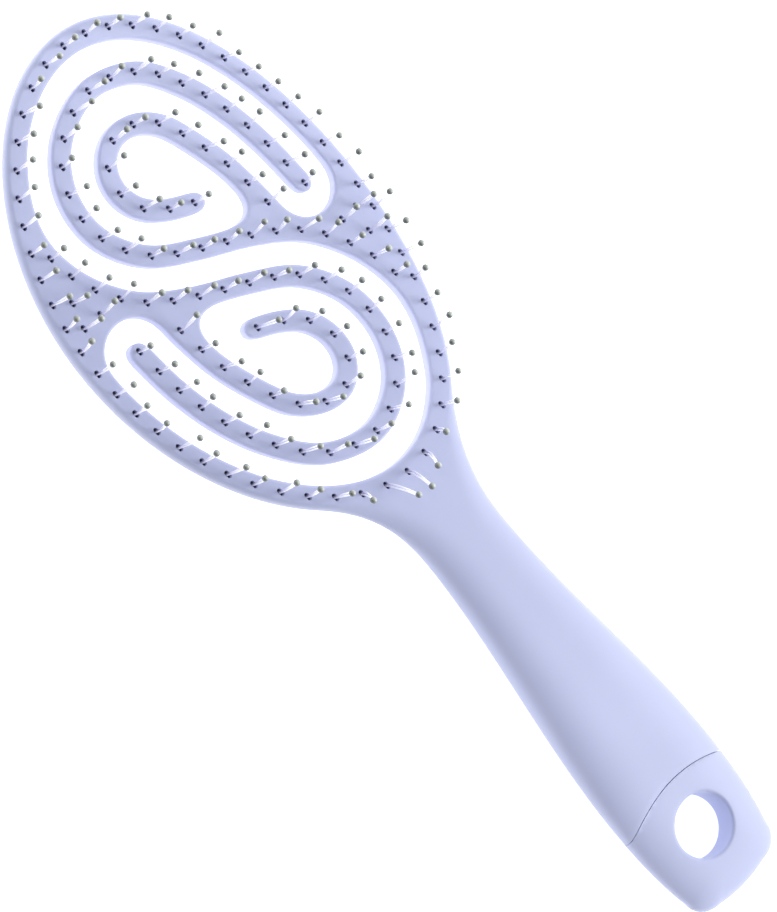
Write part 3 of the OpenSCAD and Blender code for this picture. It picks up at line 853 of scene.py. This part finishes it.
def sweep(path, radius, sides=8):
    """Places and faces of a round strand along a path, closed at its ends."""
    path = np.asarray(path, float)
    d = np.gradient(path, axis=0)
    d /= np.linalg.norm(d, axis=1)[:, None]
    side = np.array([1.0, 0, 0])
    verts, faces = [], []
    for p, w in zip(path, d):
        u = side - w * side.dot(w)
        u /= np.linalg.norm(u)
        v = np.cross(w, u)
        for k in range(sides):
            a = 2 * math.pi * k / sides
            verts.append(p + radius * (math.cos(a) * u + math.sin(a) * v))
    n = len(path)
    for i in range(n - 1):
        for k in range(sides):
            j = (k + 1) % sides
            faces.append((i * sides + k, i * sides + j, (i + 1) * sides + j, (i + 1) * sides + k))
    faces.append(tuple(range(sides - 1, -1, -1)))
    faces.append(tuple((n - 1) * sides + k for k in range(sides)))
    return verts, faces


def join_parts(name, parts, material):
    """One object from the like forms of a row of tufts."""
    verts, faces = [], []
    for v, f in parts:
        base = len(verts)
        verts += [((p[0] + HEAD_X) * MM, p[1] * MM, p[2] * MM) for p in v]
        faces += [tuple(base + i for i in g) for g in f]
    mesh = bpy.data.meshes.new(name)
    mesh.from_pydata(verts, [], faces)
    mesh.materials.append(material)
    mesh.polygons.foreach_set("use_smooth", [True] * len(faces))
    mesh.set_sharp_from_angle(angle=math.radians(60))
    mesh.update()
    obj = bpy.data.objects.new(name, mesh)
    bpy.context.scene.collection.objects.link(obj)
    return obj


def strand_path(x, y, shift, turned):
    """One folded filament: down one side of the staple, under it, and up the other side. The
    filling head leaves the pair turned a little round each other towards the ball."""
    base = float(face_z(x, y))
    fold = TUFT_W / 2 - TUFT_DEEP
    top = tuft_top(shift)
    up = []
    for h in (0, 0.1, 0.25, 0.4, 0.55, 0.7, 0.85, 1.0):
        bend, turn = h ** 1.6, turned * float(ease(h * 1.2))
        off = STRAND_OFF * (1 - 0.2 * h)
        up.append((shift[0] * bend, shift[1] * bend, base + h * (top - 0.1),
                   -off * math.sin(turn), off * math.cos(turn)))
    path = [(x + dx - u, y + dy - v, z) for dx, dy, z, u, v in reversed(up)]
    path += [(x, y - STRAND_OFF * math.cos(a), base + fold - STRAND_OFF * math.sin(a))
             for a in np.radians(np.arange(0, 181, 30))]
    path += [(x + dx + u, y + dy + v, z) for dx, dy, z, u, v in up]
    return path


def bead(x, y, shift, hand):
    """A dipped bead: nearly round, drawn down a little onto its strands."""
    rings, around = 9, 14
    c = np.array([x + shift[0], y + shift[1], float(face_z(x, y)) + tuft_top(shift)])
    swell = hand.uniform(1.02, 1.09)
    verts, faces = [c + [0, 0, BALL / 2]], []
    for i in range(1, rings):
        a = math.pi * i / rings
        for k in range(around):
            b = 2 * math.pi * k / around
            r = BALL / 2 * swell * math.sin(a)
            z = BALL / 2 * math.cos(a) * (1.0 if a < math.pi / 2 else DRAWN)
            verts.append(c + [r * math.cos(b), r * math.sin(b), z])
    verts.append(c - [0, 0, BALL / 2 * DRAWN])
    for k in range(around):
        j = (k + 1) % around
        faces.append((0, 1 + k, 1 + j))
        for i in range(rings - 2):
            a, b = 1 + i * around, 1 + (i + 1) * around
            faces.append((a + k, b + k, b + j, a + j))
        last = 1 + (rings - 2) * around
        faces.append((last + k, len(verts) - 1, last + j))
    return verts, faces


def dress_tufts():
    """Strands and beads take the solids' place, and the staples keep their own."""
    rows = tuft_rows()
    shifts = leans(rows)
    hand = random.Random(9)
    for name, row in rows.items():
        paths = [strand_path(x, y, s, math.radians(hand.gauss(55, 12)))
                 for (x, y), s in zip(row, shifts[name])]
        strands = [sweep(path, STRAND / 2) for path in paths]
        beads = [bead(x, y, s, hand) for (x, y), s in zip(row, shifts[name])]
        piece = join_parts(name + "_folded_strands", strands, NYLON)
        # The share of the way up each strand, which sets the nylon's painted lilac and painted
        # glow.
        rise = []
        for path, (verts, _), (x, y) in zip(paths, strands, row):
            base, top = float(face_z(x, y)), path[0][2]
            rise += [min(max((v[2] - base) / (top - base), 0), 1) for v in verts]
        give_share(piece.data, "rise", rise)
        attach(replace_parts(piece, name + "_bristles"), "root")
        piece = join_parts(name + "_resin_beads", beads, RESIN)
        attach(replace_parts(piece, name + "_ball_tips"), "root")
        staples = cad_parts[name + "_staples"]
        staples.data.materials.clear()
        staples.data.materials.append(STEEL)


def dress_plastic():
    """The two mouldings, finer than the solids, whose place they take."""
    body = make_body([ABS, HOLE_SHADE])
    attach(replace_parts(body, "brush_body"), "root")
    cap = make_cap([ABS])
    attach(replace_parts(cap, "end_cap"), "root")


# ---- table, light and camera
def area_light(name, way, distance, size, watts):
    data = bpy.data.lights.new(name, "AREA")
    data.shape, data.size, data.energy = "DISK", size, watts
    lamp = bpy.data.objects.new(name, data)
    way = Vector(way).normalized()
    lamp.location = way * distance
    lamp.rotation_euler = way.to_track_quat("Z", "Y").to_euler()
    bpy.context.scene.collection.objects.link(lamp)


def white_tent():
    """Soft light of a photographer's white tent, brightest low down, with its wall on the side of
    +y folded away, which leaves that flank of the handle in shade."""
    world = bpy.data.worlds.new("white_tent")
    world.use_nodes = True
    tree = world.node_tree
    tree.nodes.clear()
    place = add(tree, "ShaderNodeTexCoord").outputs["Generated"]
    rise = add(tree, "ShaderNodeSeparateXYZ", {"Vector": place})
    power = add(tree, "ShaderNodeMapRange", {
        "Value": rise.outputs["Z"], "To Min": 1.15, "To Max": 0.3})
    fold = add(tree, "ShaderNodeMapRange", {"Value": rise.outputs["Y"], "From Min": 0.05,
                                            "From Max": 0.8, "To Min": 1.0, "To Max": 0.4})
    both = add(tree, "ShaderNodeMath", {0: power.outputs["Result"], 1: fold.outputs["Result"]},
               operation="MULTIPLY")
    glow = add(tree, "ShaderNodeBackground", {"Color": linear("#FBFBFF"),
                                              "Strength": both.outputs["Value"]})
    add(tree, "ShaderNodeOutputWorld", {"Surface": glow.outputs["Background"]})
    return world


def set_studio():
    mesh = bpy.data.meshes.new("table_top")
    # The top lies 0.2 mm under the brush, so that the two never share a plane.
    s, z = 4.0, -0.2 * MM
    mesh.from_pydata([(-s, -s, z), (s, -s, z), (s, s, z), (-s, s, z)], [], [(0, 1, 2, 3)])
    mesh.materials.append(light_table())
    table = bpy.data.objects.new("table_top", mesh)
    bpy.context.scene.collection.objects.link(table)
    # A wide soft key from the picture's right, and a weak one low beyond the tip of the head.
    area_light("key_softbox", (-0.62, -0.62, 0.75), 2.4, 1.8, 44.0)
    area_light("side_softbox", (1.0, 0.25, 0.3), 1.6, 1.0, 8.0)
    bpy.context.scene.world = white_tent()


def set_camera():
    data = bpy.data.cameras.new("photo_camera")
    data.sensor_width = 36
    data.lens = 233.035
    data.clip_start, data.clip_end = 0.01, 20
    camera = bpy.data.objects.new("photo_camera", data)
    # Place and turn come from a fit of the outline, the hanging hole and the rows of tufts.
    camera.location = (0.217225, 0.475359, 1.177303)
    camera.rotation_euler = Euler([math.radians(a) for a in (7.85998, -22.74875, -133.77918)])
    bpy.context.scene.collection.objects.link(camera)
    bpy.context.scene.camera = camera


set_camera()
dress_plastic()
dress_tufts()
set_studio()
bpy.context.scene.view_settings.view_transform = "Standard"
